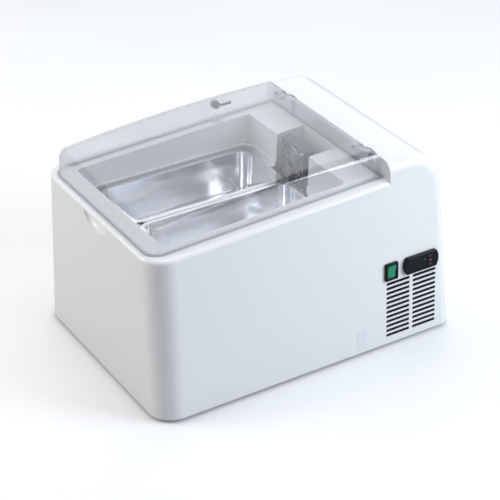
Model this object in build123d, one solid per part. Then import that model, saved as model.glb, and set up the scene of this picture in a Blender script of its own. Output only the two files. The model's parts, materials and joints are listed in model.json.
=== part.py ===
from build123d import *
import math
import os

# Counter-top ice-cream freezer: moulded shell with a low basin for two pans, a clear
# domed lid hinged to a raised machine housing, and a small refrigeration set inside.
# Millimetres. X = width (controls on the +X side), -Y = front, +Z = up.
# Origin: middle of the footprint, on the plane that the feet stand on.

# ---- driving dimensions -------------------------------------------------------------
foot_height = 8.0
bottom_width = 504.0
bottom_length = 700.0
side_draft = 0.0635          # horizontal run per unit of height
front_draft = 0.0116
rear_draft = 0.0715
shell_wall = 4.0
front_corner_radius = 51.0
rim_front_height = 353.5     # rim height at the front face
rim_slope = math.tan(math.radians(2.5))
rim_radius = 9.0
housing_front = 192.0        # Y of the step between basin and machine housing
housing_top = 416.0
housing_rear_radius = 80.0
housing_side_radius = 24.0

opening_half_width = 182.0
opening_front = -296.0
opening_rear = 118.0
opening_radius = 12.0
skirt_bottom = 308.0
skirt_wall = 3.0
notch_left = -70.0           # fan notch in the rear ledge
notch_right = 50.0
notch_rear = 183.0
notch_floor = 272.0

tank_wall = 1.2
tank_bottom = 190.0
tank_radius = 25.0
pan_length = 360.0
pan_width = 165.0
pan_depth = 100.0
pan_top = 305.0
pan_middle = -82.0
pan_gap = 2.0

lid_half_width = 204.0
lid_front = -335.0
lid_rear = 190.0
lid_wall = 3.0
lid_lean = 3.0               # degrees
lid_corner_radius = 33.0
lid_edge_radius = 18.0
lid_gap = 2.0
lid_crown = ((-400.0, 397.0), (0.0, 432.5), (257.0, 431.0))     # Y and height
axis_y = 190.0
axis_z = 418.0
hinge_places = (-122.5, 161.0)
pin_radius = 2.0
pin_clearance = 0.05
knuckle_radius = 4.0
knuckle_length = 7.2
knuckle_pitch = 7.6
fixed_leaf_screw_heights = (387.0, 400.0)
lid_leaf_screw_places = (-13.0, 13.0)
lid_screw_y = 156.0
leaf_top = 430.2

lock_y = 44.0
lock_z = 408.0
cam_reach = 33.5
lock_radius = 6.0
lock_collar_radius = 9.0
lock_nut_radius = 8.0

compressor_x = 20.0
compressor_y = 262.0
compressor_radius = 62.0
base_plate_bottom = 12.0
base_plate_top = 13.5
foam_bottom = 130.0
foam_rear = 168.0

slot_rows = 12
slot_pitch = 10.95
slot_length = 59.0
slot_height = 7.0
first_slot_height = 19.5     # above the shell's lower edge, along the wall
slot_columns = (212.5, 278.5)
louvre_wall = 2.0            # wall left at the slots, in front of the air filter
filter_thickness = 3.0
louvre_field = (181.5, 309.5, 13.0, 146.5)      # Y range and heights along the wall

rocker_y = 194.0
rocker_height = 169.0        # above the shell's lower edge, along the wall
rocker_bezel_size = (32.0, 39.5)
rocker_size = (20.5, 29.0)
rocker_tilt = 7.0
control_y = 267.0
control_height = 169.5
control_length = 86.0
control_width = 38.0

fan_size = 92.0
fan_depth = 25.0
fan_front = 120.0
fan_x = notch_left + 52.0
fan_z = 326.0
fan_shaft_radius = 2.0
condenser_middle = (219.0, 244.0, 82.0)
fin_count = 23
fin_pitch = 5.0

# ---- reference planes ---------------------------------------------------------------
side_angle = math.atan(side_draft)
rear_angle = math.atan(rear_draft)
side_wall = Plane(
    origin=(bottom_width / 2, 0, foot_height),
    x_dir=(0, 1, 0),
    z_dir=(math.cos(side_angle), 0, math.sin(side_angle)),
)
rear_wall = Plane(
    origin=(0, bottom_length / 2, foot_height),
    x_dir=(-1, 0, 0),
    z_dir=(0, math.cos(rear_angle), math.sin(rear_angle)),
)


# ---- helpers ------------------------------------------------------------------------
def rim_height(y):
    """Height of the sloping rim at a given Y."""
    return rim_front_height + (y + bottom_length / 2 - 4) * rim_slope


def block(x0, x1, y0, y1, z0, z1):
    """Box between two corners."""
    size = (x1 - x0, y1 - y0, z1 - z0)
    return Pos((x0 + x1) / 2, (y0 + y1) / 2, (z0 + z1) / 2) * Box(*size)


def rod(start, end, radius):
    """Round bar between two points."""
    line = Line(start, end)
    return sweep(Plane(origin=start, z_dir=line % 0) * Circle(radius), path=line)


def tube(points, radius, bend):
    """Bent tube through a list of points, as a solid round bar."""
    path = FilletPolyline(*points, radius=bend)
    section = Plane(origin=path @ 0, z_dir=path % 0) * Circle(radius)
    return sweep(section, path=path)


def drafted_section(inset, z):
    """Sharp-cornered outline of the shell at height z, moved inwards by inset."""
    rise = z - foot_height
    half = bottom_width / 2 - side_draft * rise - inset
    front = -bottom_length / 2 + front_draft * rise + inset
    rear = bottom_length / 2 - rear_draft * rise - inset
    return Pos(0, (front + rear) / 2, z) * Rectangle(2 * half, rear - front)


def drafted_block(inset, bottom, top):
    """Block with the shell's drafted faces between two heights."""
    return loft([drafted_section(inset, bottom), drafted_section(inset, top)])


def basin_block(inset, bottom, y_end):
    """Front part of the shell up to the sloping rim, ending at y_end."""
    body = drafted_block(inset, bottom, housing_top)
    upright = body.edges().filter_by(lambda e: e.length > 100 and e.center().Y < 0)
    upright = upright.filter_by(lambda e: abs(e.tangent_at(0.5).Z) > 0.9)
    body = fillet(upright, front_corner_radius - inset)
    profile = Polyline(
        (0, -400, bottom - 10),
        (0, -400, rim_height(-400) - inset),
        (0, y_end, rim_height(y_end) - inset),
        (0, y_end, bottom - 10),
        close=True,
    )
    wedge = extrude(make_face(profile), amount=300, both=True, dir=(1, 0, 0))
    body = body & wedge
    top_face = body.faces().sort_by(Axis.Z)[-1]
    rim = top_face.edges().filter_by(lambda e: e.center().Y < y_end - 1)
    return fillet(rim, max(rim_radius - inset, 3.0))


def housing_block(inset, bottom, y_start):
    """Rear part of the shell, with the rounded top, from y_start."""
    body = drafted_block(inset, bottom, housing_top - inset)
    body = body & block(-300, 300, y_start, 400, 0, 500)
    rear_edge = body.edges().filter_by(Axis.X).sort_by(Axis.Z)[-2:].sort_by(Axis.Y)[-1]
    body = fillet(rear_edge, housing_rear_radius - inset)
    sides = body.edges().filter_by(
        lambda e: abs(e.center().X) > 180
        and e.center().Y > y_start + 5
        and e.center().Z > bottom + 5
    )
    return fillet(sides, housing_side_radius - inset)


def well(grow, bottom, top):
    """Tapered block that fills the basin opening, larger by grow on every side."""
    half = opening_half_width + grow
    length = opening_rear - opening_front + 2 * grow
    middle = (opening_rear + opening_front) / 2
    outline = RectangleRounded(2 * half, length, opening_radius + grow)
    body = extrude(outline, amount=-(top - bottom), taper=1.5)
    return Pos(0, middle, top) * body


def notch_block(grow, top):
    """Block of the fan notch, larger by grow at the sides, back and floor."""
    return block(
        notch_left - grow,
        notch_right + grow,
        opening_rear - 3.5,
        notch_rear + grow,
        notch_floor - grow,
        top,
    )


def finger_scoop(grow):
    """Scooped finger recess in the front face, under the rim's edge."""
    scoop = scale(Sphere(1), by=(46 + grow, 14 + grow, 28 + grow))
    scoop = Pos(0, -bottom_length / 2 + 3, 346) * scoop
    return scoop & block(-80, 80, -400, -300, 300, 344.5 + grow)


def louvre_slots():
    """Cutters of the two columns of ventilation slots in the side wall."""
    one = extrude(SlotOverall(slot_length, slot_height), amount=8, both=True)
    cutters = []
    for column in slot_columns:
        for row in range(slot_rows):
            cutters.append(Pos(column, first_slot_height + row * slot_pitch, 0) * one)
    return [side_wall.location * cutter for cutter in cutters]


def louvre_field_block(shrink, outside, inside):
    """Block over the whole slot field, between two depths behind the side wall's face."""
    y0, y1, low, high = louvre_field
    block_size = (y1 - y0 - 2 * shrink, high - low - 2 * shrink, inside - outside)
    place = Pos((y0 + y1) / 2, (low + high) / 2, -(outside + inside) / 2)
    return side_wall.location * (place * Box(*block_size))


def export(node, shape):
    """Write one node; a list becomes one group of solids."""
    group = Compound(children=list(shape)) if isinstance(shape, list) else shape
    export_step(group, os.path.join("parts", node + ".step"))


# ---- shell and base -----------------------------------------------------------------
rear_opening = (-170.0, 170.0, 40.0, 215.0)     # x0, x1 and heights along the rear wall
rear_ledge = 10.0
boss_places = [(side * 239, y) for side in (-1, 1) for y in (-270, -60, 150)]
foot_places = [(side * 188, end * 285) for side in (-1, 1) for end in (-1, 1)]


def rear_frame():
    """Ledge behind the opening of the rear wall, which carries the service panel."""
    x0, x1, low, high = rear_opening
    width = x1 - x0
    height = high - low
    plate = Box(width + 20, height + 20, 3.6)
    plate = plate - Box(width - 2 * rear_ledge, height - 2 * rear_ledge, 5)
    return rear_wall.location * Pos((x0 + x1) / 2, (low + high) / 2, -5.2) * plate


def outer_shell():
    """One-piece moulded shell: walls, rim, basin skirt, fan notch and housing."""
    trim = basin_block(0, foot_height, housing_front)
    outer = trim + housing_block(0, foot_height, housing_front)
    hollow = basin_block(shell_wall, foot_height - 2, housing_front + 40)
    hollow = hollow + housing_block(shell_wall, foot_height - 2, housing_front + shell_wall)
    body = outer - hollow
    lining = well(skirt_wall, skirt_bottom, 400) + notch_block(skirt_wall, 400)
    body = body + (lining & trim)
    body = body + (finger_scoop(skirt_wall) & trim)
    body = body - well(0, skirt_bottom - 5, 400)
    body = body - notch_block(0, 400)
    body = body - finger_scoop(0)
    body = body + rear_frame()
    for x, y in boss_places:
        body = body + Pos(x, y, (base_plate_top + 42) / 2) * Cylinder(7, 42 - base_plate_top)
        body = body - Pos(x, y, 24) * Cylinder(2, 24)
    x0, x1, low, high = rear_opening
    window = Pos((x0 + x1) / 2, (low + high) / 2, -1.3) * Box(x1 - x0, high - low, 5)
    body = body - rear_wall.location * window
    for x, height in rear_screw_places():
        body = body - rear_wall.location * (Pos(x, height, -5) * Cylinder(1.5, 10))
    gland_hole = Pos(gland_x, gland_height, 0) * Cylinder(8, 30)
    body = body - rear_wall.location * gland_hole
    body = body - louvre_field_block(0, louvre_wall, shell_wall + 4)
    body = body - louvre_slots()
    width, height = rocker_bezel_size
    rocker_hole = Pos(rocker_y, rocker_height, 0) * Box(width - 6, height - 6, 20)
    control_hole = Box(control_length - 14, control_width - 8, 20)
    control_hole = Pos(control_y, control_height, 0) * control_hole
    body = body - side_wall.location * rocker_hole
    body = body - side_wall.location * control_hole
    for x in hinge_places:
        body = body - block(x - 15, x + 15, housing_front - 1, 194.6, 413.6, 420)
        for height in fixed_leaf_screw_heights:
            body = body - Pos(x, housing_front, height) * Rot(90, 0, 0) * Cylinder(1.25, 16)
    return body


def base_pan():
    """Sheet-metal floor with holes for feet and screws."""
    plate = extrude(drafted_section(shell_wall + 0.5, base_plate_bottom), amount=1.5)
    front = plate.edges().filter_by(Axis.Z).filter_by(lambda e: e.center().Y < 0)
    plate = fillet(front, front_corner_radius - shell_wall)
    rear = plate.edges().filter_by(Axis.Z).filter_by(lambda e: e.center().Y > 300)
    plate = fillet(rear, housing_side_radius - shell_wall)
    for x, y in boss_places:
        plate = plate - Pos(x, y, base_plate_top) * Cylinder(2.2, 10)
    for x, y in foot_places:
        plate = plate - Pos(x, y, base_plate_top) * Cylinder(2.7, 10)
    for x, y in compressor_bolt_places():
        plate = plate - Pos(x, y, base_plate_top) * Cylinder(3, 10)
    return plate


def base_screws():
    """Six screws that hold the floor to the bosses of the shell."""
    screws = []
    for x, y in boss_places:
        shank = Pos(x, y, 24) * Cylinder(2, 20)
        head = Pos(x, y, 11) * Cylinder(4.5, 2)
        screws.append(shank + Pos(x, y, 13) * Cylinder(2, 4) + head)
    return screws


def rubber_feet():
    """Four round rubber feet, each with a recess for its screw."""
    feet = []
    for x, y in foot_places:
        foot = Pos(x, y, 0) * extrude(Circle(15), amount=base_plate_bottom, taper=-6)
        foot = foot - Pos(x, y, 3) * Cylinder(6.5, 6) - Pos(x, y, 8) * Cylinder(2.5, 20)
        feet.append(foot)
    return feet


def foot_screws():
    """Four pan-head screws through the feet into the floor."""
    screws = []
    for x, y in foot_places:
        head = Pos(x, y, 4.7) * Cylinder(5.5, 2.6)
        screws.append(head + Pos(x, y, 13) * Cylinder(2.5, 14))
    return screws


def air_filter():
    """Black foam pad in the recess behind the slots, in front of the condenser."""
    return louvre_field_block(0.6, louvre_wall, louvre_wall + filter_thickness)


# ---- tank, insulation and pans ------------------------------------------------------
tank_half = opening_half_width - 7.0 + tank_wall
tank_front = opening_front + 5.0 - tank_wall
tank_rear = opening_rear - 4.0
tank_top = skirt_bottom


def tank_outline(grow):
    """Rounded plan outline of the tank."""
    length = tank_rear - tank_front + 2 * grow
    outline = RectangleRounded(2 * (tank_half + grow), length, tank_radius + tank_wall + grow)
    return Pos(0, (tank_rear + tank_front) / 2, 0) * outline


def inner_tank():
    """Stainless tank: box with rounded corners and an outward flange under the skirt."""
    outside = Pos(0, 0, tank_bottom) * extrude(tank_outline(0), amount=tank_top - tank_bottom)
    outside = fillet(outside.faces().sort_by(Axis.Z)[0].edges(), 16)
    inside = extrude(tank_outline(-tank_wall), amount=200)
    inside = Pos(0, 0, tank_bottom + tank_wall) * inside
    inside = fillet(inside.faces().sort_by(Axis.Z)[0].edges(), 16 - tank_wall)
    flange = Pos(0, 0, tank_top - tank_wall) * extrude(tank_outline(7), amount=tank_wall)
    mouth = block(notch_left, notch_right, 100, 130, notch_floor, 320)
    clear = notch_block(skirt_wall + 0.2, 400)
    clear = clear & block(-200, 200, tank_rear, 200, 0, 400)
    return (outside + flange) - inside - mouth - clear


def foam_insulation():
    """Foam between the shell and the tank, with room for the cooling coil."""
    body = basin_block(shell_wall + 0.5, 20, foam_rear)
    body = body & block(-300, 300, -400, foam_rear, foam_bottom, 400)
    body = body - block(-185.5, 185.5, -301.5, 123.5, 181, 400)
    body = body - notch_block(skirt_wall + 0.5, 400)
    body = body - block(-60, 60, -400, -328, 305, 400)
    for x0, x1, z in ((-142, -92, coil_start), (-72, -20, coil_end)):
        body = body - block(x0, x1, 120, 180, z - 7, z + 7)
    return body


coil_start = 200.0
coil_step = 4.5
coil_turns = 3
coil_end = coil_start + coil_step * 4 * coil_turns
coil_radius = 4.0


def evaporator_coil():
    """Copper tube wound round the tank, with both ends leading to the rear."""
    gap = coil_radius + 0.6
    x = tank_half + gap
    front = tank_front - gap
    rear = tank_rear + gap
    corners = [(-x, rear), (-x, front), (x, front), (x, rear)]
    points = [(-100, 190, coil_start), (-100, rear, coil_start)]
    for turn in range(4 * coil_turns):
        px, py = corners[turn % 4]
        points.append((px, py, coil_start + coil_step * turn))
    points += [(-60, rear, coil_end), (-60, 190, coil_end)]
    return tube(points, coil_radius, 31)


def pan_rails():
    """Front and rear stainless shelves that carry the rims of the pans."""
    top = pan_top - 5.3
    front = block(-149, 149, tank_front + tank_wall, -255.5, top - 1.6, top)
    front = front + block(-149, 149, tank_front + tank_wall, tank_front + 2.8, top - 16, top)
    rear = block(-149, 149, 92, tank_rear - tank_wall, top - 1.6, top)
    rear = rear + block(-149, 149, tank_rear - 2.8, tank_rear - tank_wall, top - 16, top)
    return [front, rear - block(notch_left, notch_right, 100, 130, 270, 320)]


def pan(side):
    """Deep-drawn pan with a flat rim and a turned-down edge."""
    x = side * (pan_width + pan_gap) / 2
    outer = extrude(RectangleRounded(149, 344, 26), amount=-pan_depth, taper=3)
    outer = fillet(outer.faces().sort_by(Axis.Z)[0].edges(), 18)
    inner = extrude(RectangleRounded(147, 342, 25), amount=-(pan_depth - 1), taper=3)
    inner = fillet(inner.faces().sort_by(Axis.Z)[0].edges(), 17)
    rim = extrude(RectangleRounded(pan_width, pan_length, 32), amount=-5)
    under = Pos(0, 0, -1.2) * extrude(RectangleRounded(pan_width - 2, pan_length - 2, 31), amount=-5)
    edges = rim.faces().sort_by(Axis.Z)[-1].edges()
    rim = fillet(edges, 1.0)
    body = (rim - under) + outer - inner
    return Pos(x, pan_middle, pan_top) * body


# ---- lid and hinges -----------------------------------------------------------------
def lid_outline(grow):
    """Plan outline of the lid, larger by grow: round front corners, square rear corners."""
    outline = Rectangle(2 * (lid_half_width + grow), lid_rear - lid_front + 2 * grow)
    corners = outline.vertices().sort_by(Axis.Y)[:2]
    outline = fillet(corners, lid_corner_radius + grow)
    return Pos(0, (lid_rear + lid_front) / 2, 330) * outline


def lid_form(inset, bottom_drop):
    """Closed form of the lid, moved inwards by inset."""
    body = extrude(lid_outline(-inset), amount=120, taper=lid_lean)
    crown = ThreePointArc(*[(0, y, height - inset) for y, height in lid_crown])
    under = Polyline(crown @ 1, (0, lid_crown[-1][0], 300), (0, -400, 300), crown @ 0)
    wedge = extrude(make_face([crown, under]), amount=300, both=True, dir=(1, 0, 0))
    body = body & wedge
    crown_face = body.faces().sort_by(Axis.Z)[-1]
    body = fillet(crown_face.edges(), lid_edge_radius - inset)
    return body - rim_space(lid_gap - bottom_drop)


def rim_space(gap):
    """Everything below the rim plane raised by gap."""
    profile = Polyline(
        (0, -420, 200),
        (0, -420, rim_height(-420) + gap),
        (0, 300, rim_height(300) + gap),
        (0, 300, 200),
        close=True,
    )
    return extrude(make_face(profile), amount=320, both=True, dir=(1, 0, 0))


def lid_foot(gap, thickness, width):
    """Band that runs round the lower edge of the lid, outside and inside of its wall."""
    ring = extrude(lid_outline(width), amount=80) - extrude(lid_outline(-3.6), amount=80)
    ring = ring & block(-300, 300, -400, lid_rear, 300, 500)
    return (ring & rim_space(gap + thickness)) - rim_space(gap)


def lid_cover():
    """Clear one-piece lid: crowned top, rounded walls, small foot flange."""
    body = lid_form(0, 0) - lid_form(lid_wall, 6)
    body = body + lid_foot(lid_gap, 2.5, 3.0)
    for x in hinge_places:
        body = body - block(x - 13.5, x + 13.5, 167, 200, 410, 440)
        for place in lid_leaf_screw_places:
            body = body - Pos(x + place, lid_screw_y, leaf_top) * Cylinder(1.6, 20)
    hole = Pos(-lid_half_width, lock_y, lock_z) * Rot(0, 90, 0) * Cylinder(lock_radius, 30)
    return body - hole


def lid_seal():
    """Soft seal under the foot flange of the lid."""
    return lid_foot(0.4, lid_gap - 0.4, 2.4)


def knuckle(x, bore):
    """One barrel knuckle of a hinge, centred at x on the axis."""
    ring = Cylinder(knuckle_radius, knuckle_length) - Cylinder(bore, knuckle_length + 2)
    return Pos(x, axis_y, axis_z) * Rot(0, 90, 0) * ring


def lid_hinge_leaves():
    """Moving leaves: plate under the lid, two necks and two knuckles each."""
    leaves = []
    for x in hinge_places:
        leaf = block(x - 18, x + 18, 146, 166, leaf_top - 1.6, leaf_top)
        for end in (-1, 1):
            middle = x + end * knuckle_pitch
            arm = Polyline(
                (middle, 166, leaf_top),
                (middle, 187, axis_z + 3),
                (middle, 187, axis_z - 1),
                (middle, 166, leaf_top - 4),
                close=True,
            )
            neck = extrude(make_face(arm), amount=3.6, both=True, dir=(1, 0, 0))
            neck = neck - Pos(middle, axis_y, axis_z) * Rot(0, 90, 0) * Cylinder(3, 10)
            leaf = leaf + neck + knuckle(middle, pin_radius + pin_clearance)
        for place in lid_leaf_screw_places:
            leaf = leaf - Pos(x + place, lid_screw_y, leaf_top) * Cylinder(1.6, 10)
        leaves.append(leaf)
    return leaves


def lid_hinge_screws():
    """Pan-head screws through the lid into the moving leaves."""
    screws = []
    for hinge in hinge_places:
        for place in lid_leaf_screw_places:
            x = hinge + place
            head = Pos(x, lid_screw_y, leaf_top + 4.9) * Cylinder(3.2, 2.2)
            head = fillet(head.edges().sort_by(Axis.Z)[-1], 1.2)
            screws.append(head + Pos(x, lid_screw_y, leaf_top + 1.6) * Cylinder(1.5, 8))
    return screws


def housing_hinge_leaves():
    """Fixed leaves on the front wall of the housing, with one knuckle each."""
    leaves = []
    for x in hinge_places:
        leaf = block(x - 7, x + 7, 190.4, housing_front, 380, 411.5)
        neck = block(x - 3.6, x + 3.6, 190.4, housing_front, 411, 417)
        neck = neck - Pos(x, axis_y, axis_z) * Rot(0, 90, 0) * Cylinder(3, 10)
        leaf = leaf + neck + knuckle(x, pin_radius)
        for height in fixed_leaf_screw_heights:
            leaf = leaf - Pos(x, housing_front, height) * Rot(90, 0, 0) * Cylinder(1.3, 16)
        leaves.append(leaf)
    return leaves


def housing_hinge_screws():
    """Screws of the fixed leaves."""
    screws = []
    for x in hinge_places:
        for height in fixed_leaf_screw_heights:
            head = Pos(x, 189.6, height) * Rot(90, 0, 0) * Cylinder(2.6, 1.6)
            shank = Pos(x, 193.4, height) * Rot(90, 0, 0) * Cylinder(1.25, 8)
            screws.append(head + shank)
    return screws


def hinge_pins():
    """Two hinge pins with small rounded heads."""
    pins = []
    for x in hinge_places:
        pin = Pos(x, axis_y, axis_z) * Rot(0, 90, 0) * Cylinder(pin_radius, 25)
        for end in (-1, 1):
            pin = pin + Pos(x + end * 12.6, axis_y, axis_z) * Rot(0, 90, 0) * Cylinder(3, 1.2)
        pins.append(pin)
    return pins


# ---- lock ---------------------------------------------------------------------------
lock_wall_x = -lid_half_width + 4.1      # outer face of the lid wall at the lock


def along_x(radius, x0, x1):
    """Cylinder on the lock's axis between two X positions."""
    return Pos((x0 + x1) / 2, lock_y, lock_z) * Rot(0, 90, 0) * Cylinder(radius, x1 - x0)


def lock_barrel():
    """Cylinder lock through the lid wall: outer collar, body and key slot."""
    collar = along_x(lock_collar_radius, lock_wall_x - 4.5, lock_wall_x - 0.8)
    collar = fillet(collar.faces().sort_by(Axis.X)[0].edges(), 1.5)
    body = along_x(lock_radius - 0.1, lock_wall_x - 2, lock_wall_x + 10)
    slot = block(lock_wall_x - 5, lock_wall_x - 2.5, lock_y - 0.8, lock_y + 0.8, lock_z - 3, lock_z + 3)
    return collar + body + along_x(1.6, lock_wall_x + 9, lock_wall_x + 12.6) - slot


def lock_nut():
    """Round nut on the inner side of the lid wall."""
    ring = along_x(lock_nut_radius, lock_wall_x + 5.0, lock_wall_x + 7.8)
    return ring - along_x(lock_radius, lock_wall_x, lock_wall_x + 10)


def lock_cam():
    """Cam with a bent foot; it points to the rear when unlocked."""
    x0 = lock_wall_x + 10.4
    arm = along_x(6, x0, x0 + 2)
    arm = arm + block(x0, x0 + 2, lock_y, lock_y + cam_reach, lock_z - 2.5, lock_z + 2.5)
    tip = lock_y + cam_reach
    foot = block(x0 - 4.5, x0 + 2, tip - 2.5, tip, lock_z - 2.5, lock_z + 2.5)
    return arm + foot - along_x(1.65, x0 - 2, x0 + 4)


def lock_cam_screw():
    """Screw head that keeps the cam on the lock."""
    head = along_x(4, lock_wall_x + 12.8, lock_wall_x + 15)
    return head + along_x(1.5, lock_wall_x + 12.6, lock_wall_x + 14)


def lock_strike():
    """C-shaped catch on the rim, open towards the tank."""
    plate = block(0, 13, -8, 8, 0, 1.5)
    back = block(0, 1.5, -8, 8, 0, 11.5)
    lip = block(0, 6, -8, 8, 10, 11.5)
    body = plate + back + lip
    for y in (-5, 5):
        body = body - Pos(10, y, 0) * Cylinder(1.3, 6)
    return strike_place() * body


def strike_place():
    """Place of the catch on the sloping rim."""
    return Pos(-197.6, lock_y, rim_height(lock_y)) * Rot(math.degrees(math.atan(rim_slope)), 0, 0)


def strike_rivets():
    """Two small rivets of the catch."""
    rivet = Pos(10, 0, 1.0) * Cylinder(1.2, 1.0) + Pos(10, 0, 2.0) * Cylinder(2.2, 1.0)
    return [strike_place() * Pos(0, y, 0) * rivet for y in (-5, 5)]


# ---- circulation fan ----------------------------------------------------------------
def along_y(radius, x, z, y0, y1):
    """Cylinder along Y."""
    return Pos(x, (y0 + y1) / 2, z) * Rot(90, 0, 0) * Cylinder(radius, y1 - y0)


fan_screw_places = [(fan_x + a * 41, fan_z + b * 41) for a in (-1, 1) for b in (-1, 1)]


def evap_fan_frame():
    """Square fan frame with a round duct, a motor hub and three spokes."""
    half = fan_size / 2
    rear = fan_front + fan_depth
    body = block(fan_x - half, fan_x + half, fan_front, rear, fan_z - half, fan_z + half)
    body = fillet(body.edges().filter_by(Axis.Y), 5)
    body = body - along_y(half - 3, fan_x, fan_z, fan_front - 1, rear + 1)
    hub = along_y(17, fan_x, fan_z, fan_front + 21, rear)
    hub = hub + along_y(fan_shaft_radius, fan_x, fan_z, fan_front + 8, rear - 2)
    for angle in (30, 150, 270):
        spoke = Pos(22 + 7, 0, 0) * Box(34, 6, 3)
        spoke = Rot(0, 0, angle) * spoke
        hub = hub + Pos(fan_x, rear - 1.5, fan_z) * Rot(90, 0, 0) * spoke
    body = body + hub
    for x, z in fan_screw_places:
        body = body - along_y(2.2, x, z, fan_front - 1, rear + 1)
    return body


def propeller(hub_radius, tip_radius, depth, blades, pitch):
    """Fan rotor about Z: domed hub with pitched blades."""
    hub = Cylinder(hub_radius, depth)
    hub = fillet(hub.faces().sort_by(Axis.Z)[-1].edges(), 3)
    reach = tip_radius - hub_radius
    width = 2 * math.pi * (hub_radius + tip_radius) / 2 / blades * 0.72
    for number in range(blades):
        blade = Box(reach + 3, width, 1.6)
        blade = fillet(blade.edges().filter_by(Axis.Z), min(width, reach) * 0.3)
        blade = Pos(hub_radius + reach / 2 - 1.5, 0, 0) * Rot(pitch, 0, 0) * blade
        hub = hub + Rot(0, 0, 360 / blades * number) * blade
    return hub & Cylinder(tip_radius, depth * 1.2)


def evap_fan_rotor():
    """Seven-blade rotor of the circulation fan, blowing to the front."""
    rotor = propeller(17, 41, 17, 7, 32)
    rotor = rotor - Pos(0, 0, -4) * Cylinder(fan_shaft_radius + pin_clearance, 18)
    return Pos(fan_x, fan_front + 11.5, fan_z) * Rot(90, 0, 0) * rotor


def evap_fan_guard():
    """Wire guard in front of the fan: rings and four arms."""
    plane_y = fan_front - 2.0
    guard = None
    for radius in (12, 20, 28, 36, 43):
        ring = Pos(fan_x, plane_y, fan_z) * Rot(90, 0, 0) * Torus(radius, 0.9)
        guard = ring if guard is None else guard + ring
    for angle in (45, 135, 225, 315):
        direction = (math.cos(math.radians(angle)), math.sin(math.radians(angle)))
        start = (fan_x + 11.5 * direction[0], plane_y, fan_z + 11.5 * direction[1])
        end = (fan_x + 55 * direction[0], plane_y, fan_z + 55 * direction[1])
        guard = guard + rod(start, end, 1.0)
    for x, z in fan_screw_places:
        eye = along_y(4.2, x, z, plane_y - 1.0, plane_y + 1.9)
        guard = guard + eye
    for x, z in fan_screw_places:
        guard = guard - along_y(2.2, x, z, plane_y - 4, plane_y + 4)
    return guard


def evap_fan_screws():
    """Four screws through the guard and the fan frame."""
    screws = []
    for x, z in fan_screw_places:
        head = along_y(3.6, x, z, fan_front - 5.2, fan_front - 3.1)
        screws.append(head + along_y(2.0, x, z, fan_front - 3.2, fan_front + fan_depth))
    return screws


def temperature_probe():
    """Probe bulb on the side wall of the notch, in its clip."""
    bulb = along_y(3, notch_right - 5, 330, 150, 182)
    clip = block(notch_right - 9, notch_right, 160, 168, 326, 334)
    return bulb + clip


# ---- refrigeration set --------------------------------------------------------------
def compressor_bolt_places():
    """Corners of the compressor's base bracket."""
    return [
        (compressor_x + a * 72, compressor_y + b * 46) for a in (-1, 1) for b in (-1, 1)
    ]


discharge_stub = (compressor_x + 30, compressor_y + 13)
suction_stub = (compressor_x - 30, compressor_y - 22)
stub_top = 188.0


def compressor():
    """Hermetic compressor: domed steel shell with a welded flange and two stubs."""
    body = Pos(compressor_x, compressor_y, 102) * Cylinder(compressor_radius - 2, 146)
    body = fillet(body.faces().sort_by(Axis.Z)[-1].edges(), 34)
    body = fillet(body.faces().sort_by(Axis.Z)[0].edges(), 18)
    flange = Pos(compressor_x, compressor_y, 112) * Cylinder(compressor_radius + 2, 5)
    body = body + fillet(flange.edges(), 1.5)
    for x, y in (discharge_stub, suction_stub):
        body = body + Pos(x, y, (150 + stub_top) / 2) * Cylinder(4.5, stub_top - 150)
    return body


def compressor_bracket():
    """Base bracket under the compressor."""
    plate = Pos(compressor_x, compressor_y, 27.5) * Box(164, 110, 3)
    plate = fillet(plate.edges().filter_by(Axis.Z), 12)
    for x, y in compressor_bolt_places():
        plate = plate - Pos(x, y, 27.5) * Cylinder(3.2, 10)
    return plate


def compressor_grommets():
    """Four rubber mounts between the floor and the bracket."""
    mounts = []
    for x, y in compressor_bolt_places():
        body = Pos(x, y, (base_plate_top + 26) / 2) * Cylinder(9, 26 - base_plate_top)
        body = fillet(body.edges(), 1.5)
        mounts.append(body - Pos(x, y, 20) * Cylinder(3.2, 20))
    return mounts


def compressor_bolts():
    """Four bolts that hold the compressor to the floor."""
    head = Pos(0, 0, 31) * extrude(RegularPolygon(5.5, 6), amount=4)
    washer = Pos(0, 0, 30) * Cylinder(7, 2)
    shank = Pos(0, 0, 21.25) * Cylinder(2.9, 20.5)
    bolt = head + washer + shank
    return [Pos(x, y, 0) * bolt for x, y in compressor_bolt_places()]


def terminal_cover():
    """Plastic cover of the compressor's electrical terminals."""
    left = compressor_x - compressor_radius
    body = block(left - 22, left + 8, compressor_y - 24, compressor_y + 24, 55, 106)
    body = fillet(body.edges().filter_by(Axis.Z).sort_by(Axis.X)[:2], 6)
    return body - Pos(compressor_x, compressor_y, 80) * Cylinder(compressor_radius - 1.5, 100)


pass_heights = [condenser_middle[2] - 52.5 + 21 * number for number in range(6)]
fin_front = condenser_middle[1] - fin_pitch * (fin_count - 1) / 2
fin_rear = condenser_middle[1] + fin_pitch * (fin_count - 1) / 2


def condenser_fins():
    """Stack of thin aluminium fins, drilled for the tube."""
    x, y, z = condenser_middle
    sheet = Box(28, 0.9, 124)
    for height in pass_heights:
        sheet = sheet - Pos(0, 0, height - z) * Rot(90, 0, 0) * Cylinder(4.05, 4)
    return [Pos(x, fin_front + fin_pitch * number, z) * sheet for number in range(fin_count)]


def condenser_tube():
    """Serpentine copper tube through the fins."""
    x = condenser_middle[0]
    front = fin_front - 14
    rear = fin_rear + 14
    points = [(x, 312, pass_heights[-1])]
    towards_front = True
    for upper, lower in zip(reversed(pass_heights[1:]), reversed(pass_heights[:-1])):
        end = front if towards_front else rear
        points.append((x, end, upper))
        points.append((x, end, lower))
        towards_front = not towards_front
    points.append((x, 312, pass_heights[0]))
    return tube(points, coil_radius, 9.5)


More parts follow.
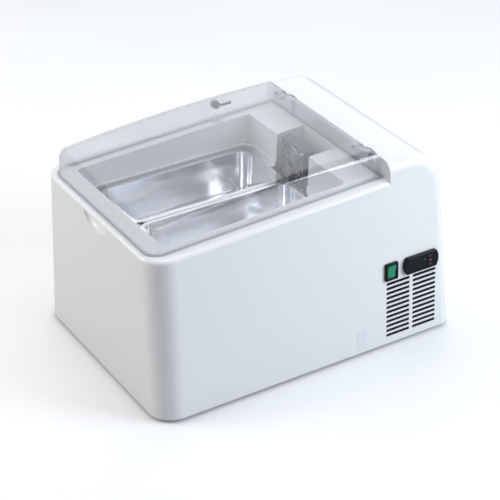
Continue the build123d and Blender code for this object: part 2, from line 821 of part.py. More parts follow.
shroud_x = 200.0
shroud_screw_places = [
    (condenser_middle[1] + a * 54, condenser_middle[2] + b * 56)
    for a in (-1, 1)
    for b in (-1, 1)
]


def condenser_shroud():
    """Sheet-metal shroud with a round fan hole and a motor bridge."""
    x, y, z = condenser_middle
    plate = block(shroud_x - 1, shroud_x + 1, y - 60, y + 60, base_plate_top, z + 63)
    plate = plate - Pos(shroud_x, y, z) * Rot(0, 90, 0) * Cylinder(54, 10)
    ring = Cylinder(56, 14) - Cylinder(54, 20)
    plate = plate + Pos(shroud_x - 7, y, z) * Rot(0, 90, 0) * ring
    bridge_x = shroud_x - 38
    bridge = block(bridge_x, bridge_x + 2, y - 62, y + 62, z - 8, z + 8)
    for end in (-1, 1):
        arm = block(bridge_x, shroud_x, y + end * 61 - 1, y + end * 61 + 1, z - 8, z + 8)
        bridge = bridge + arm
    for end in (-1, 1):
        tab = block(shroud_x - 1, shroud_x + 1, y + end * 61 - 1.5, y + end * 61 + 1.5, z - 8, z + 8)
        bridge = bridge + tab
    bridge = bridge - Pos(bridge_x, y, z) * Rot(0, 90, 0) * Cylinder(5, 10)
    body = plate + bridge
    for py, pz in shroud_screw_places:
        body = body - Pos(shroud_x, py, pz) * Rot(0, 90, 0) * Cylinder(2.2, 10)
    return body


def shroud_screws():
    """Screws of the fan shroud."""
    screws = []
    for y, z in shroud_screw_places:
        head = Pos(shroud_x - 2, y, z) * Rot(0, 90, 0) * Cylinder(4, 2)
        screws.append(head + Pos(shroud_x + 1, y, z) * Rot(0, 90, 0) * Cylinder(2, 4.6))
    return screws


def condenser_motor():
    """Small shaded-pole motor behind the condenser fan, with its shaft."""
    x, y, z = condenser_middle
    back = shroud_x - 38
    body = Pos(back - 17, y, z) * Rot(0, 90, 0) * Cylinder(24, 34)
    body = fillet(body.edges(), 4)
    shaft = Pos(back + 8, y, z) * Rot(0, 90, 0) * Cylinder(3, 20)
    return body + shaft


def condenser_rotor():
    """Five-blade fan of the condenser."""
    x, y, z = condenser_middle
    rotor = propeller(16, 50, 16, 5, 30) - Cylinder(3.06, 40)
    return Pos(shroud_x - 24, y, z) * Rot(0, 90, 0) * rotor


drier_place = (130.0, 322.0)


def filter_drier():
    """Copper filter drier with necked ends."""
    x, y = drier_place
    body = Pos(x, y, 110) * Cylinder(9, 60)
    body = fillet(body.edges(), 5)
    return body + Pos(x, y, 110) * Cylinder(4.5, 84)


def discharge_line():
    """Tube from the compressor to the top of the condenser."""
    x, y = discharge_stub
    end = condenser_middle[0]
    points = [
        (x, y, stub_top), (x, y, 222), (x, 324, 222), (end, 324, 222),
        (end, 324, pass_heights[-1]), (end, 312, pass_heights[-1]),
    ]
    return tube(points, 3.2, 11)


def liquid_line():
    """Tube from the bottom of the condenser to the filter drier."""
    x, y = drier_place
    low = pass_heights[0]
    start = condenser_middle[0]
    points = [(start, 312, low), (start, y, low), (x, y, low), (x, y, 68)]
    return tube(points, 3.2, 9)


def capillary_tube():
    """Thin tube from the filter drier to the inlet of the cooling coil."""
    x, y = drier_place
    points = [(x, y, 152), (x, y, coil_start), (-100, y, coil_start), (-100, 190, coil_start)]
    return tube(points, 1.5, 20)


def suction_line():
    """Tube from the cooling coil back to the compressor."""
    x, y = suction_stub
    points = [(-60, 190, coil_end), (-60, y, coil_end), (x, y, coil_end), (x, y, stub_top)]
    return tube(points, 4.0, 14)


# ---- rear panel and cord entry ------------------------------------------------------
gland_x = -205.0             # along the rear wall's own axis, which points to -X
gland_height = 60.0


def rear_screw_places():
    """Screw places of the service panel, in the rear wall's own coordinates."""
    x0, x1, low, high = rear_opening
    places = [(x, height) for x in (x0 + 5, 0, x1 - 5) for height in (low + 5, high - 5)]
    return places


def rear_panel():
    """Service panel with three columns of ventilation slots."""
    x0, x1, low, high = rear_opening
    plate = Box(x1 - x0 - 0.6, high - low - 0.6, 2.5)
    slot = extrude(SlotOverall(80, 5), amount=5, both=True)
    for column in (-100, 0, 100):
        for row in range(10):
            plate = plate - Pos(column, -56 + row * 12, 0) * slot
    plate = Pos((x0 + x1) / 2, (low + high) / 2, -2.25) * plate
    for x, height in rear_screw_places():
        plate = plate - Pos(x, height, -2) * Cylinder(1.8, 10)
    return rear_wall.location * plate


def rear_panel_screws():
    """Six screws of the service panel."""
    screws = []
    for x, height in rear_screw_places():
        head = Pos(x, height, -0.2) * Cylinder(3.2, 1.5)
        shank = Pos(x, height, -3.9) * Cylinder(1.5, 6)
        screws.append(rear_wall.location * (head + shank))
    return screws


def cord_gland():
    """Cable gland in the rear wall, with its nut inside; open bore for a cord."""
    flange = Pos(0, 0, 0.6) * Cylinder(11, 1.2)
    thread = Pos(0, 0, -6) * Cylinder(7.9, 13)
    dome = Pos(0, 0, -1) * Cylinder(9, 4)
    nut = Pos(0, 0, -8) * extrude(RegularPolygon(12, 6), amount=3.5)
    body = flange + thread + nut - Pos(0, 0, -6) * Cylinder(4, 30)
    return rear_wall.location * (Pos(gland_x, gland_height, 0) * body)


# ---- controls -----------------------------------------------------------------------
def rocker_bezel():
    """Black bezel and body of the switch, with a well for the rocker."""
    w, h = rocker_bezel_size
    bezel = Pos(0, 0, 2.5) * Box(w, h, 5)
    bezel = fillet(bezel.edges().filter_by(Axis.Z), 3)
    bezel = fillet(bezel.faces().sort_by(Axis.Z)[-1].edges(), 1.5)
    body = Pos(0, 0, -12) * Box(w - 7, h - 7, 24.5)
    well_cut = Pos(0, 0, 0) * Box(rocker_size[0] + 1.2, rocker_size[1] + 1.8, 22)
    return side_wall.location * (Pos(rocker_y, rocker_height, 0) * (bezel + body - well_cut))


rocker_axis_depth = -2.0


def rocker_switch():
    """Green rocker, pressed at its lower end."""
    w, h = rocker_size
    cap = Pos(0, 0, 1.5) * Box(w, h, 9)
    dish = Pos(0, 0, 46) * Rot(0, 90, 0) * Cylinder(41, w + 4)
    cap = cap - dish
    cap = fillet(cap.edges().filter_by(Axis.Y), 0.8)
    cap = Rot(rocker_tilt, 0, 0) * cap
    return side_wall.location * (Pos(rocker_y, rocker_height, rocker_axis_depth) * cap)


def bowed_outline(length, width, bow):
    """Rectangle with bowed ends."""
    x = length / 2 - bow
    y = width / 2
    top = Line((-x, y), (x, y))
    right = ThreePointArc((x, y), (x + bow, 0), (x, -y))
    bottom = Line((x, -y), (-x, -y))
    left = ThreePointArc((-x, -y), (-x - bow, 0), (-x, y))
    return make_face([top, right, bottom, left])


key_places = {"key_up": 9.5, "key_set": 0.0, "key_down": -9.5}
key_offset = 21.5
key_size = (10.6, 6.8)
window_offset = -13.0
window_length = 50.0


def on_control(shape):
    """Move a shape from the controller's own place to the side wall."""
    return side_wall.location * (Pos(control_y, control_height, 0) * shape)


def controller_case():
    """Rear case of the digital thermostat, behind the wall."""
    case = Pos(0, 0, -24) * Box(control_length - 15, control_width - 9, 48)
    return on_control(fillet(case.edges().filter_by(Axis.Z), 2))


def controller_front():
    """Front frame of the thermostat with bowed ends, window recess and key holes."""
    body = extrude(bowed_outline(control_length, control_width, 6), amount=8)
    body = fillet(body.edges().filter_by(Axis.Z), 4)
    body = fillet(body.faces().sort_by(Axis.Z)[-1].edges(), 2)
    window = Pos(window_offset, 0, 7.5) * Box(window_length, 26, 3)
    body = body - fillet(window.edges().filter_by(Axis.Z), 3)
    for height in key_places.values():
        body = body - Pos(key_offset, height, 5) * Box(key_size[0] + 0.8, key_size[1] + 0.8, 10)
    return on_control(body)


def controller_window():
    """Dark display window."""
    window = Pos(window_offset, 0, 6.95) * Box(window_length - 0.4, 25.6, 1.9)
    window = fillet(window.edges().filter_by(Axis.Z), 2.8)
    return on_control(fillet(window.faces().sort_by(Axis.Z)[-1].edges(), 0.4))


def controller_key(name):
    """One key cap with a stem."""
    cap = Pos(key_offset, key_places[name], 5.4) * Box(*key_size, 6)
    cap = fillet(cap.edges().filter_by(Axis.Z), 1.5)
    return on_control(fillet(cap.faces().sort_by(Axis.Z)[-1].edges(), 0.7))


def rating_plate():
    """Blank rating plate on the side wall."""
    plate = Pos(122, 32, 0.25) * Box(20, 42, 0.5)
    return side_wall.location * fillet(plate.edges().filter_by(Axis.Z), 2)


# ---- build and write ----------------------------------------------------------------
def nodes():
    """Every node with its shape or its group of solids."""
    return {
        "outer_shell": outer_shell(),
        "base_pan": base_pan(),
        "base_screws": base_screws(),
        "rubber_feet": rubber_feet(),
        "air_filter": air_filter(),
        "foot_screws": foot_screws(),
        "inner_tank": inner_tank(),
        "foam_insulation": foam_insulation(),
        "evaporator_coil": evaporator_coil(),
        "pan_rails": pan_rails(),
        "pan_near": pan(1),
        "pan_far": pan(-1),
        "lid_cover": lid_cover(),
        "lid_seal": lid_seal(),
        "lid_hinge_leaves": lid_hinge_leaves(),
        "lid_hinge_screws": lid_hinge_screws(),
        "housing_hinge_leaves": housing_hinge_leaves(),
        "housing_hinge_screws": housing_hinge_screws(),
        "hinge_pins": hinge_pins(),
        "lock_barrel": lock_barrel(),
        "lock_nut": lock_nut(),
        "lock_cam": lock_cam(),
        "lock_cam_screw": lock_cam_screw(),
        "lock_strike": lock_strike(),
        "strike_rivets": strike_rivets(),
        "evap_fan_frame": evap_fan_frame(),
        "evap_fan_rotor": evap_fan_rotor(),
        "evap_fan_guard": evap_fan_guard(),
        "evap_fan_screws": evap_fan_screws(),
        "temperature_probe": temperature_probe(),
        "compressor": compressor(),
        "compressor_bracket": compressor_bracket(),
        "compressor_grommets": compressor_grommets(),
        "compressor_bolts": compressor_bolts(),
        "terminal_cover": terminal_cover(),
        "condenser_fins": condenser_fins(),
        "condenser_tube": condenser_tube(),
        "condenser_shroud": condenser_shroud(),
        "shroud_screws": shroud_screws(),
        "condenser_motor": condenser_motor(),
        "condenser_rotor": condenser_rotor(),
        "filter_drier": filter_drier(),
        "discharge_line": discharge_line(),
        "liquid_line": liquid_line(),
        "capillary_tube": capillary_tube(),
        "suction_line": suction_line(),
        "rear_panel": rear_panel(),
        "rear_panel_screws": rear_panel_screws(),
        "cord_gland": cord_gland(),
        "rocker_bezel": rocker_bezel(),
        "rocker_switch": rocker_switch(),
        "controller_case": controller_case(),
        "controller_front": controller_front(),
        "controller_window": controller_window(),
        "key_up": controller_key("key_up"),
        "key_set": controller_key("key_set"),
        "key_down": controller_key("key_down"),
        "rating_plate": rating_plate(),
    }


os.makedirs("parts", exist_ok=True)
for node_name, node_shape in nodes().items():
    export(node_name, node_shape)
    print("wrote", node_name)
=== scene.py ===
import bpy
import bmesh
import json
import math
from mathutils import Matrix, Vector


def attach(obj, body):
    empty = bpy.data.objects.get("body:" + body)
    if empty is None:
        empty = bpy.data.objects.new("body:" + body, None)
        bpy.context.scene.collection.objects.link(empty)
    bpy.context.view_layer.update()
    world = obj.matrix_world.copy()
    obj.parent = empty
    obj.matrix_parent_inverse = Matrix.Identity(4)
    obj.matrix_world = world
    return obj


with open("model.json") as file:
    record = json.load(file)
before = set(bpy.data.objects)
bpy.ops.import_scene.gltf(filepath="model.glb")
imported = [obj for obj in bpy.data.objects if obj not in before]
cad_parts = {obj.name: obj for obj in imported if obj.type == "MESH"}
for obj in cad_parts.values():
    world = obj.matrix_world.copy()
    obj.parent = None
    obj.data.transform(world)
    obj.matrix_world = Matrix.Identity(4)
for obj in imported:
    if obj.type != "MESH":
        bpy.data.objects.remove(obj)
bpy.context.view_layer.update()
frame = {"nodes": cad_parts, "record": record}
record = frame["record"]
nodes = frame["nodes"]


# ---- small helpers for node materials -------------------------------------------------
class Shader:
    """A material's node tree with one Principled shader and object coordinates."""

    def __init__(self, name):
        self.material = bpy.data.materials.new(name)
        self.material.use_nodes = True
        self.tree = self.material.node_tree
        self.main = self.tree.nodes["Principled BSDF"]
        self.output = self.tree.nodes["Material Output"]
        self.place = self.tree.nodes.new("ShaderNodeTexCoord")

    def add(self, kind, **values):
        node = self.tree.nodes.new(kind)
        for key, value in values.items():
            setattr(node, key, value)
        return node

    def link(self, source, target):
        self.tree.links.new(source, target)

    def stretched(self, stretch):
        """Object coordinates with a scale of their own on each axis."""
        mapping = self.add("ShaderNodeMapping")
        mapping.inputs["Scale"].default_value = stretch
        self.link(self.place.outputs["Object"], mapping.inputs["Vector"])
        return mapping.outputs["Vector"]

    def noise(self, scale, detail=3.0, stretch=(1, 1, 1), roughness=0.55):
        node = self.add("ShaderNodeTexNoise")
        node.inputs["Scale"].default_value = scale
        node.inputs["Detail"].default_value = detail
        node.inputs["Roughness"].default_value = roughness
        self.link(self.stretched(stretch), node.inputs["Vector"])
        return node.outputs["Fac"]

    def ramp(self, source, stops):
        """Colour ramp through the stops (position, colour)."""
        node = self.add("ShaderNodeValToRGB")
        elements = node.color_ramp.elements
        while len(elements) < len(stops):
            elements.new(0.5)
        for element, (position, colour) in zip(elements, stops):
            element.position = position
            element.color = (*colour, 1.0)
        self.link(source, node.inputs["Fac"])
        return node.outputs["Color"]

    def span(self, source, low, high, start=0.3, end=0.7):
        """Number that runs from low to high as the source goes from start to end."""
        node = self.add("ShaderNodeMapRange")
        node.inputs["From Min"].default_value = start
        node.inputs["From Max"].default_value = end
        node.inputs["To Min"].default_value = low
        node.inputs["To Max"].default_value = high
        self.link(source, node.inputs["Value"])
        return node.outputs["Result"]

    def bump(self, source, strength, distance, below=None):
        node = self.add("ShaderNodeBump")
        node.inputs["Strength"].default_value = strength
        node.inputs["Distance"].default_value = distance
        self.link(source, node.inputs["Height"])
        if below is not None:
            self.link(below, node.inputs["Normal"])
        self.link(node.outputs["Normal"], self.main.inputs["Normal"])
        return node.outputs["Normal"]

    def set(self, **values):
        for key, value in values.items():
            self.main.inputs[key.replace("_", " ")].default_value = value


def shade(colour, factor):
    """A colour made darker or lighter by a factor."""
    return tuple(min(1.0, c * factor) for c in colour)


def moulded(name, colour, rough, grain_scale, grain, coat=0.0, spread=0.03):
    """Moulded plastic or rubber: fine skin texture, slight tone changes, uneven gloss."""
    s = Shader(name)
    tone = s.noise(5.0, 4.0)
    s.link(
        s.ramp(tone, [(0.3, shade(colour, 1 - spread)), (0.7, shade(colour, 1 + spread))]),
        s.main.inputs["Base Color"],
    )
    patches = s.noise(24.0, 5.0)
    s.link(s.span(patches, rough * 0.94, rough * 1.08), s.main.inputs["Roughness"])
    skin = s.noise(grain_scale, 2.0)
    s.bump(skin, grain, 0.0004)
    s.set(IOR=1.49)
    s.main.inputs["Coat Weight"].default_value = coat
    s.main.inputs["Coat Roughness"].default_value = 0.12
    return s


def metal(name, colour, rough, brush, brush_scale, strength, blotch=0.06):
    """Metal with a brushed or rolled grain that runs along the short stretch axis."""
    s = Shader(name)
    s.set(Metallic=1.0)
    cloud = s.noise(9.0, 4.0)
    s.link(
        s.ramp(cloud, [(0.3, shade(colour, 1 - blotch)), (0.72, shade(colour, 1 + blotch))]),
        s.main.inputs["Base Color"],
    )
    grain = s.noise(brush_scale, 2.0, brush)
    s.link(s.span(grain, rough * 0.75, rough * 1.3), s.main.inputs["Roughness"])
    s.bump(grain, strength, 0.0003)
    return s


# ---- the materials ----------------------------------------------------------------------
def shell_white():
    s = moulded("shell_white", (0.85, 0.853, 0.858), 0.30, 620.0, 0.012, 0.2, 0.004)
    return s.material


# Light kept by one surface of the clear sheet, by how far the surface turns away (0 to 1). The
# dark stops at grazing angles are painted shade that draws a dark outline along the lid's
# edges.
ACRYLIC_TINT_AND_EDGE_SHADE = [
    (0.0, (0.948, 0.950, 0.956)),
    (0.68, (0.930, 0.934, 0.942)),
    (0.82, (0.66, 0.66, 0.67)),
    (0.93, (0.22, 0.22, 0.23)),
]
# Share of whitish haze on one surface, by the same angle; the band at middle angles is partly
# painted sheen standing in for reflections.
ACRYLIC_HAZE_AND_SHEEN = [
    (0.50, (0.012, 0.012, 0.012)),
    (0.66, (0.34, 0.34, 0.34)),
    (0.78, (0.36, 0.36, 0.36)),
    (0.90, (0.02, 0.02, 0.02)),
]
# Extra whitish haze on the lid's front wall and +X wall: painted sheen that brightens these
# walls as reflections would.
FRONT_WALL_PAINTED_SHEEN = 0.10
NEAR_WALL_PAINTED_SHEEN = 0.13
ACRYLIC_MIRROR = (0.04, 0.55)
ACRYLIC_ROUGHNESS = (0.035, 0.085)


def summed(s, first, second, use_clamp=False):
    """Sum of two numbers in a node tree."""
    total = s.add("ShaderNodeMath", operation="ADD", use_clamp=use_clamp)
    s.link(first, total.inputs[0])
    s.link(second, total.inputs[1])
    return total.outputs["Value"]


def mixed(s, share, below, above):
    """Two shaders, the second one by its share."""
    mix = s.add("ShaderNodeMixShader")
    s.link(share, mix.inputs["Fac"])
    s.link(below, mix.inputs[1])
    s.link(above, mix.inputs[2])
    return mix.outputs["Shader"]


def acrylic_haze_and_sheen(s, facing):
    """Whitish haze by angle, partly painted sheen, with a little more painted sheen on the
    front wall and on the +X wall.
    """
    by_angle = s.ramp(facing, ACRYLIC_HAZE_AND_SHEEN)
    wall = s.add("ShaderNodeSeparateXYZ")
    s.link(s.place.outputs["Normal"], wall.inputs["Vector"])
    front_wall = s.span(wall.outputs["Y"], FRONT_WALL_PAINTED_SHEEN, 0.0, -0.96, -0.65)
    near_wall = s.span(wall.outputs["X"], 0.0, NEAR_WALL_PAINTED_SHEEN, 0.70, 0.97)
    return summed(s, by_angle, summed(s, front_wall, near_wall), use_clamp=True)


def clear_acrylic():
    """Clear sheet: lets light through, mirrors by angle, with a polish haze that is partly
    painted sheen, and painted shade at grazing angles that draws a dark outline.
    """
    s = Shader("clear_acrylic")
    weight = s.add("ShaderNodeLayerWeight")
    weight.inputs["Blend"].default_value = 0.5
    facing = weight.outputs["Facing"]
    clear = s.add("ShaderNodeBsdfTransparent")
    s.link(s.ramp(facing, ACRYLIC_TINT_AND_EDGE_SHADE), clear.inputs["Color"])
    gloss = s.add("ShaderNodeBsdfGlossy")
    gloss.inputs["Color"].default_value = (1, 1, 1, 1)
    wipe = s.noise(60.0, 4.0, (1.0, 0.25, 1.0))
    s.link(s.span(wipe, *ACRYLIC_ROUGHNESS), gloss.inputs["Roughness"])
    ripple = s.add("ShaderNodeBump")
    ripple.inputs["Strength"].default_value = 0.06
    ripple.inputs["Distance"].default_value = 0.001
    s.link(s.noise(14.0, 1.0), ripple.inputs["Height"])
    s.link(ripple.outputs["Normal"], gloss.inputs["Normal"])
    steep = s.add("ShaderNodeMath", operation="POWER")
    s.link(facing, steep.inputs[0])
    steep.inputs[1].default_value = 5.0
    mirror = s.span(steep.outputs["Value"], *ACRYLIC_MIRROR, 0.0, 1.0)
    # Whitish diffuse layer on the sheet: polish haze and painted sheen.
    haze = s.add("ShaderNodeBsdfDiffuse")
    haze.inputs["Color"].default_value = (0.80, 0.81, 0.83, 1)
    sheet = mixed(s, mirror, clear.outputs["BSDF"], gloss.outputs["BSDF"])
    sheet = mixed(s, acrylic_haze_and_sheen(s, facing), sheet, haze.outputs["BSDF"])
    s.link(sheet, s.output.inputs["Surface"])
    s.tree.nodes.remove(s.main)
    return s.material


def seal_clear():
    s = moulded("seal_clear", (0.66, 0.69, 0.73), 0.38, 500.0, 0.04, 0.0, 0.03)
    s.main.inputs["Alpha"].default_value = 0.6
    return s.material


def stainless():
    """Deep-drawn sheet: soft long waves, faint drawing lines, uneven polish."""
    s = Shader("stainless")
    s.set(Metallic=1.0)
    cloud = s.noise(7.0, 3.0, (1.0, 0.4, 1.0))
    tones = [(0.3, (0.84, 0.855, 0.89)), (0.7, (0.94, 0.945, 0.96))]
    s.link(s.ramp(cloud, tones), s.main.inputs["Base Color"])
    lines = s.noise(260.0, 2.0, (1.0, 0.03, 1.0))
    s.link(s.span(lines, 0.13, 0.19), s.main.inputs["Roughness"])
    waves = s.bump(s.noise(9.0, 1.5, (1.0, 0.5, 1.0)), 0.30, 0.007)
    s.bump(lines, 0.02, 0.0002, waves)
    return s.material


def tank_satin_painted_light():
    """Satin tank lining, made paler and less metallic than the stainless: painted light that
    lifts the shaded gaps round the pans.
    """
    s = metal("tank_satin_painted_light", (0.92, 0.925, 0.935), 0.42, (1.0, 0.05, 1.0), 300.0, 0.02, 0.03)
    s.set(Metallic=0.35)
    return s.material


def fan_slate():
    return moulded("fan_slate", (0.085, 0.095, 0.115), 0.38, 800.0, 0.10, 0.0, 0.15).material


def zinc_steel():
    return metal("zinc_steel", (0.60, 0.61, 0.62), 0.36, (1, 1, 1), 90.0, 0.05, 0.12).material


def chromed():
    return metal("chromed", (0.60, 0.61, 0.63), 0.14, (1, 1, 1), 300.0, 0.01, 0.05).material


def foam():
    s = moulded("foam", (0.78, 0.69, 0.46), 0.85, 260.0, 0.5, 0.0, 0.08)
    return s.material


def copper():
    return metal("copper", (0.80, 0.44, 0.30), 0.27, (1, 1, 1), 160.0, 0.03, 0.14).material


def fin_aluminium():
    return metal("fin_aluminium", (0.78, 0.79, 0.80), 0.30, (1, 1, 0.05), 380.0, 0.03).material


def black_steel():
    s = moulded("black_steel", (0.022, 0.022, 0.024), 0.34, 330.0, 0.10, 0.3, 0.25)
    return s.material


def black_plastic():
    s = moulded("black_plastic", (0.006, 0.006, 0.007), 0.24, 900.0, 0.08, 0.0, 0.2)
    s.main.inputs["Specular IOR Level"].default_value = 0.22
    return s.material


def dark_gloss():
    s = moulded("dark_gloss", (0.003, 0.005, 0.011), 0.09, 200.0, 0.005, 0.0, 0.3)
    s.main.inputs["Specular IOR Level"].default_value = 0.30
    return s.material


def green_rocker():
    """Green translucent cap."""
    s = moulded("green_rocker", (0.008, 0.30, 0.15), 0.16, 240.0, 0.01, 0.3, 0.25)
    s.main.inputs["Subsurface Weight"].default_value = 0.15
    s.main.inputs["Subsurface Radius"].default_value = (0.001, 0.004, 0.002)
    return s.material


def key_grey():
    s = moulded("key_grey", (0.012, 0.012, 0.014), 0.28, 700.0, 0.08, 0.0, 0.1)
    s.main.inputs["Specular IOR Level"].default_value = 0.25
    return s.material


def white_panel():
    return moulded("white_panel", (0.80, 0.81, 0.82), 0.40, 420.0, 0.14, 0.0, 0.015).material


def rubber_black():
    return moulded("rubber_black", (0.025, 0.025, 0.025), 0.62, 700.0, 0.2, 0.0, 0.2).material


def filter_black():
    """Open-cell foam: dark cells with slightly lighter struts."""
    s = Shader("filter_black")
    cells = s.add("ShaderNodeTexVoronoi")
    cells.inputs["Scale"].default_value = 900.0
    s.link(s.place.outputs["Object"], cells.inputs["Vector"])
    depth = cells.outputs["Distance"]
    tones = [(0.2, (0.002, 0.002, 0.002)), (0.8, (0.008, 0.008, 0.009))]
    s.link(s.ramp(depth, tones), s.main.inputs["Base Color"])
    s.link(s.span(depth, 0.80, 0.95), s.main.inputs["Roughness"])
    s.bump(depth, 0.6, 0.0006)
    s.main.inputs["Specular IOR Level"].default_value = 0.2
    return s.material


def hinge_grey():
    return moulded("hinge_grey", (0.30, 0.31, 0.34), 0.38, 600.0, 0.06, 0.0, 0.06).material


def label_white():
    return moulded("label_white", (0.80, 0.82, 0.85), 0.33, 300.0, 0.02, 0.0, 0.01).material


makers = [
    shell_white, clear_acrylic, seal_clear, stainless, zinc_steel, chromed, foam, copper,
    fin_aluminium, black_steel, black_plastic, dark_gloss, green_rocker, key_grey,
    white_panel, rubber_black, label_white, filter_black, hinge_grey,
]
materials = {maker.__name__: maker() for maker in makers}
for entry in record["subparts"]:
    mesh = nodes[entry["node"]].data
    mesh.materials.clear()
    mesh.materials.append(materials[entry["material_slot"]])


slate = fan_slate()
special = {
    # The tank lining is paler than steel: painted light for the shaded gaps round the pans.
    "inner_tank": tank_satin_painted_light(),
    "evap_fan_frame": slate,
    "evap_fan_rotor": slate,
    "lock_strike": materials["white_panel"],
    "strike_rivets": materials["white_panel"],
}
for node, material in special.items():
    nodes[node].data.materials.clear()
    nodes[node].data.materials.append(material)


# ---- marks on the controls --------------------------------------------------------------
WALL_LEAN = math.atan(0.0635)
WALL_FOOT = (0.252, 0.008)     # x and z of the +X wall's lower edge
CONTROL_Y = 0.267
CONTROL_HEIGHT = 0.1695


def tinted(name, colour, glow):
    """Small printed or lit mark: fine grain, satin, with a weak glow of its own; on a printed
    mark the glow is painted light.
    """
    s = moulded(name, colour, 0.35, 1500.0, 0.03, 0.2, 0.12)
    s.main.inputs["Emission Color"].default_value = (*colour, 1)
    s.main.inputs["Emission Strength"].default_value = glow
    return s.material


def wall_point(along, up, out):
    """Point near the thermostat: along the wall, up the wall and out of it, in metres."""
    height = CONTROL_HEIGHT + up
    return Vector((
        WALL_FOOT[0] + math.cos(WALL_LEAN) * out - math.sin(WALL_LEAN) * height,
        CONTROL_Y + along,
        WALL_FOOT[1] + math.sin(WALL_LEAN) * out + math.cos(WALL_LEAN) * height,
    ))


def mark(name, body, middle, corners, material, thickness=0.0002):
    """Thin plate with a small chamfer, through corners given round a middle."""
    mesh = bpy.data.meshes.new(name)
    build = bmesh.new()
    along, up, out = middle
    levels = [(0.0, 1.0), (thickness * 0.6, 1.0), (thickness, 0.86)]
    rings = []
    for lift, size in levels:
        ring = [
            build.verts.new(wall_point(along + x * size, up + y * size, out + lift))
            for x, y in corners
        ]
        rings.append(ring)
    count = len(corners)
    build.faces.new(list(reversed(rings[0])))
    build.faces.new(rings[-1])
    for below, above in zip(rings[:-1], rings[1:]):
        for index in range(count):
            after = (index + 1) % count
            build.faces.new((below[index], below[after], above[after], above[index]))
    build.to_mesh(mesh)
    build.free()
    mesh.materials.append(material)
    item = bpy.data.objects.new(name, mesh)
    bpy.context.scene.collection.objects.link(item)
    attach(item, body)


def round_corners(radius, count):
    """Corners of a regular polygon that reads as a disc."""
    step = 2 * math.pi / count
    return [(radius * math.cos(step * n), radius * math.sin(step * n)) for n in range(count)]


KEY_ALONG = 0.0195
KEY_FACE = 0.0084
KEY_PITCH = 0.0095
WINDOW_FACE = 0.0079
# The printed arrows' weak glow is painted light; they are no lamp. The red and green dots are
# indicator lamps.
pale_mark = tinted("pale_mark", (0.30, 0.32, 0.33), 0.05)
red_mark = tinted("red_mark", (0.42, 0.03, 0.07), 0.35)
green_mark = tinted("green_mark", (0.01, 0.16, 0.09), 0.25)
arrow = [(-0.0014, -0.0009), (0.0014, -0.0009), (0.0, 0.0013)]
arrow_down = [(-0.0014, 0.0009), (0.0, -0.0013), (0.0014, 0.0009)]
mark("key_up_mark", "key_up", (KEY_ALONG, KEY_PITCH, KEY_FACE), arrow, pale_mark)
mark(
    "key_down_mark", "key_down",
    (KEY_ALONG, -KEY_PITCH, KEY_FACE), arrow_down, pale_mark,
)
mark(
    "key_set_mark", "key_set",
    (KEY_ALONG + 0.001, 0.0, KEY_FACE), round_corners(0.0020, 24), red_mark,
)
mark(
    "run_lamp", "cabinet",
    (0.0075, 0.0050, WINDOW_FACE), round_corners(0.0015, 20), green_mark,
)


# ---- stage and light --------------------------------------------------------------------
def floor():
    """Large plain floor, white to the camera and a quieter grey to the other rays."""
    mesh = bpy.data.meshes.new("floor")
    build = bmesh.new()
    bmesh.ops.create_grid(build, x_segments=24, y_segments=24, size=9.0)
    build.to_mesh(mesh)
    build.free()
    item = bpy.data.objects.new("floor", mesh)
    bpy.context.scene.collection.objects.link(item)
    s = Shader("floor_white")
    pale = s.ramp(s.noise(1.5, 2.0), [(0.3, (0.93, 0.93, 0.93)), (0.7, (0.96, 0.96, 0.96))])
    quiet = s.add("ShaderNodeMix", data_type="RGBA")
    quiet.inputs["A"].default_value = (0.45, 0.45, 0.45, 1)
    path = s.add("ShaderNodeLightPath")
    s.link(path.outputs["Is Camera Ray"], quiet.inputs["Factor"])
    s.link(pale, quiet.inputs["B"])
    s.link(quiet.outputs["Result"], s.main.inputs["Base Color"])
    s.set(Roughness=0.9)
    mesh.materials.append(s.material)


MIDDLE = (0, 0, 0.2)
# name: (place, (width, height), radiance, colour)
SOFTBOXES = {
    "overhead": ((0.0, 0.0, 3.0), (2.2, 2.2), 1.9, (1.0, 1.0, 1.0)),
    "front_left": ((-1.5, -2.5, 1.5), (1.8, 1.8), 4.75, (1.0, 0.995, 0.985)),
    "rear_right": ((2.0, 2.1, 1.3), (1.8, 1.8), 7.7, (0.80, 0.89, 1.0)),
    "behind": ((-2.6, 1.7, 1.7), (3.2, 2.4), 0.95, (0.97, 0.98, 1.0)),
}
FILL = ((0.95, 0.97, 1.0, 1), 0.36)
BACKDROP = ((1, 1, 1, 1), 1.0)


def softbox(name, place, size, radiance, colour):
    """Rectangular softbox that looks at the middle of the object."""
    light = bpy.data.lights.new(name, "AREA")
    light.shape = "RECTANGLE"
    light.size, light.size_y = size
    light.energy = radiance * math.pi * size[0] * size[1]
    light.color = colour
    item = bpy.data.objects.new(name, light)
    bpy.context.scene.collection.objects.link(item)
    item.location = place
    item.rotation_mode = "QUATERNION"
    item.rotation_quaternion = (Vector(MIDDLE) - Vector(place)).to_track_quat("-Z", "Y")


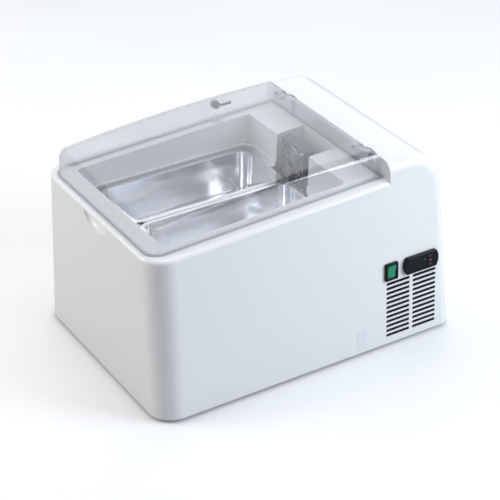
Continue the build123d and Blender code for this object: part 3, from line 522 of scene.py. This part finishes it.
def surroundings():
    """Weak even fill light; the backdrop itself is seen as white."""
    world = bpy.data.worlds.new("studio")
    bpy.context.scene.world = world
    world.use_nodes = True
    tree = world.node_tree
    for node in list(tree.nodes):
        tree.nodes.remove(node)
    tones = []
    for colour, strength in (FILL, BACKDROP):
        tone = tree.nodes.new("ShaderNodeBackground")
        tone.inputs["Color"].default_value = colour
        tone.inputs["Strength"].default_value = strength
        tones.append(tone)
    path = tree.nodes.new("ShaderNodeLightPath")
    mix = tree.nodes.new("ShaderNodeMixShader")
    output = tree.nodes.new("ShaderNodeOutputWorld")
    tree.links.new(path.outputs["Is Camera Ray"], mix.inputs["Fac"])
    tree.links.new(tones[0].outputs["Background"], mix.inputs[1])
    tree.links.new(tones[1].outputs["Background"], mix.inputs[2])
    tree.links.new(mix.outputs["Shader"], output.inputs["Surface"])


CAMERA_PLACE = (2.5362, -1.5618, 1.9637)
CAMERA_AZIMUTH = 58.253
CAMERA_ELEVATION = 31.132
CAMERA_ROLL = -0.082
CAMERA_LENS = 120.2


def camera():
    """Long-lens view from above, in front and to the right."""
    azimuth = math.radians(CAMERA_AZIMUTH)
    elevation = math.radians(CAMERA_ELEVATION)
    roll = math.radians(CAMERA_ROLL)
    right = Vector((math.cos(azimuth), math.sin(azimuth), 0))
    back = Vector((
        math.sin(azimuth) * math.cos(elevation),
        -math.cos(azimuth) * math.cos(elevation),
        math.sin(elevation),
    ))
    up = back.cross(right)
    across = right * math.cos(roll) + up * math.sin(roll)
    above = up * math.cos(roll) - right * math.sin(roll)
    turn = Matrix((across, above, back)).transposed().to_4x4()
    data = bpy.data.cameras.new("camera")
    data.sensor_width = 36.0
    data.lens = CAMERA_LENS
    data.clip_start = 0.05
    data.clip_end = 60.0
    item = bpy.data.objects.new("camera", data)
    bpy.context.scene.collection.objects.link(item)
    item.matrix_world = Matrix.Translation(CAMERA_PLACE) @ turn
    bpy.context.scene.camera = item


floor()
for name, values in SOFTBOXES.items():
    softbox(name, *values)
surroundings()
camera()
bpy.context.scene.view_settings.view_transform = "Standard"
bpy.context.scene.view_settings.look = "None"
